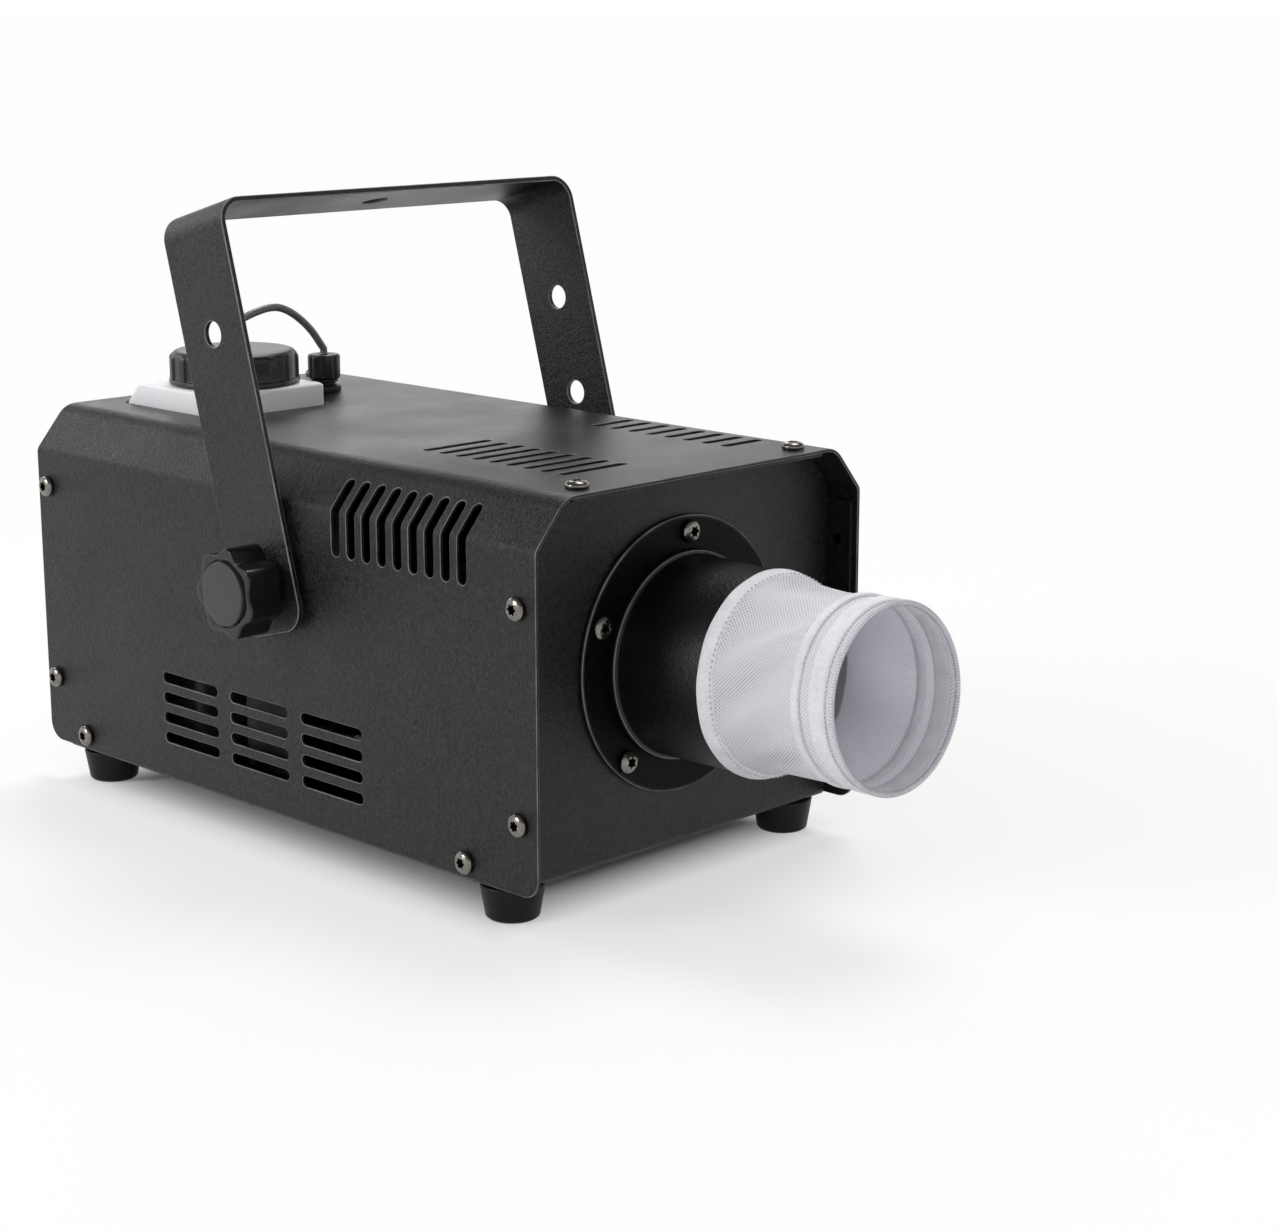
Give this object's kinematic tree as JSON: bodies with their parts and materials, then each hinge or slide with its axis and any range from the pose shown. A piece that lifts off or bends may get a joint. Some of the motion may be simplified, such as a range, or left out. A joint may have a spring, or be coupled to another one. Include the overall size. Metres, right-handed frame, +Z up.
{
  "type": "snow machine",
  "caption": "Black sheet-metal snow machine with a carrying yoke, a fluid tank under a screw cap and a round nozzle that wears a white mesh sock.",
  "frame": {"origin": "centre of the bounding box's base, on the floor that the four feet stand on", "axes": "+Z up; the nozzle blows along -Y; +X is to the right of someone looking along +Y, and the fluid tank is on the -X side"},
  "size_m": [0.2014, 0.3574, 0.2294],
  "materials": {
    "powder_coat": "black powder coat with a fine wrinkled grain",
    "gloss_paint": "gloss black paint",
    "mesh_fabric": "fine white mesh with sewn hems",
    "dark_nickel": "dark nickel plate",
    "rubber": "satin black rubber",
    "gloss_plastic": "gloss black moulding",
    "matte_plastic": "matte black moulding",
    "milky_plastic": "translucent milky moulding",
    "hose_plastic": "clear smoky tube",
    "zinc_steel": "bright zinc plate",
    "brass": "turned brass",
    "board_green": "green solder mask",
    "pale_plastic": "porous pale moulding"
  },
  "bodies": {
    "case": {"top_cover": "powder_coat", "chassis_tray": "powder_coat", "nozzle_flange": "powder_coat", "nozzle_tube": "gloss_paint", "spray_nozzle": "brass", "left_pivot_bush": "zinc_steel", "right_pivot_bush": "zinc_steel", "left_washer": "matte_plastic", "right_washer": "matte_plastic", "fluid_tank": "milky_plastic", "cap_fitting": "matte_plastic", "dip_tube": "hose_plastic", "pickup_filter": "pale_plastic", "bulkhead_fitting": "matte_plastic", "feed_hose": "hose_plastic", "suction_hose": "hose_plastic", "delivery_hose": "hose_plastic", "pump_mount": "rubber", "pump_body": "zinc_steel", "blower_housing": "matte_plastic", "blower_motor": "zinc_steel", "power_inlet": "matte_plastic", "switch_housing": "matte_plastic", "fuse_holder": "matte_plastic", "control_board": "board_green", "left_screw_1": "dark_nickel", "left_screw_2": "dark_nickel", "left_screw_3": "dark_nickel", "left_screw_4": "dark_nickel", "left_screw_5": "dark_nickel", "left_screw_6": "dark_nickel", "right_screw_1": "dark_nickel", "right_screw_2": "dark_nickel", "right_screw_3": "dark_nickel", "right_screw_4": "dark_nickel", "right_screw_5": "dark_nickel", "right_screw_6": "dark_nickel", "top_screw_1": "dark_nickel", "top_screw_2": "dark_nickel", "top_screw_3": "dark_nickel", "flange_screw_1": "dark_nickel", "flange_screw_2": "dark_nickel", "flange_screw_3": "dark_nickel", "flange_screw_4": "dark_nickel", "flange_screw_5": "dark_nickel", "foot_front_left": "rubber", "foot_front_right": "rubber", "foot_rear_left": "rubber", "foot_rear_right": "rubber"},
    "handle": {"handle_bracket": "powder_coat"},
    "left_knob": {"left_knob": "gloss_plastic"},
    "right_knob": {"right_knob": "gloss_plastic"},
    "tank_cap": {"tank_cap": "matte_plastic"},
    "hose_nut": {"compression_nut": "matte_plastic"},
    "sock": {"snow_sock": "mesh_fabric"},
    "blower_wheel": {"blower_wheel": "matte_plastic"},
    "power_rocker": {"switch_rocker": "gloss_plastic"},
    "fuse_cap": {"fuse_cap": "matte_plastic"}
  },
  "joints": [
    {"name": "handle_swing", "type": "hinge", "parent": "case", "child": "handle", "pos_m": [0, 0.03425, 0.097], "axis": [1, 0, 0], "range_deg": [-22, 70]},
    {"name": "left_knob_turn", "type": "hinge", "parent": "case", "child": "left_knob", "pos_m": [-0.0925, 0.03425, 0.097], "axis": [-1, 0, 0], "range_deg": [0, 540]},
    {"name": "right_knob_turn", "type": "hinge", "parent": "case", "child": "right_knob", "pos_m": [0.0925, 0.03425, 0.097], "axis": [1, 0, 0], "range_deg": [0, 540]},
    {"name": "tank_cap_turn", "type": "hinge", "parent": "case", "child": "tank_cap", "pos_m": [-0.0185, 0.1328, 0.152], "axis": [0, 0, 1], "range_deg": [0, 540]},
    {"name": "hose_nut_turn", "type": "hinge", "parent": "case", "child": "hose_nut", "pos_m": [0.026, 0.1338, 0.1487], "axis": [0, 0, 1], "range_deg": [0, 540]},
    {"name": "sock_slide", "type": "slide", "parent": "case", "child": "sock", "axis": [0, -1, 0], "range_m": [0, 0.03]},
    {"name": "blower_wheel_spin", "type": "hinge", "parent": "case", "child": "blower_wheel", "pos_m": [0, -0.00975, 0.05343], "axis": [1, 0, 0], "continuous": true},
    {"name": "power_rocker_tilt", "type": "hinge", "parent": "case", "child": "power_rocker", "pos_m": [0.0335, 0.16905, 0.0795], "axis": [1, 0, 0], "range_deg": [0, 16]},
    {"name": "fuse_cap_turn", "type": "hinge", "parent": "case", "child": "fuse_cap", "pos_m": [0.0575, 0.16905, 0.0795], "axis": [0, 1, 0], "range_deg": [0, 60]}
  ]
}
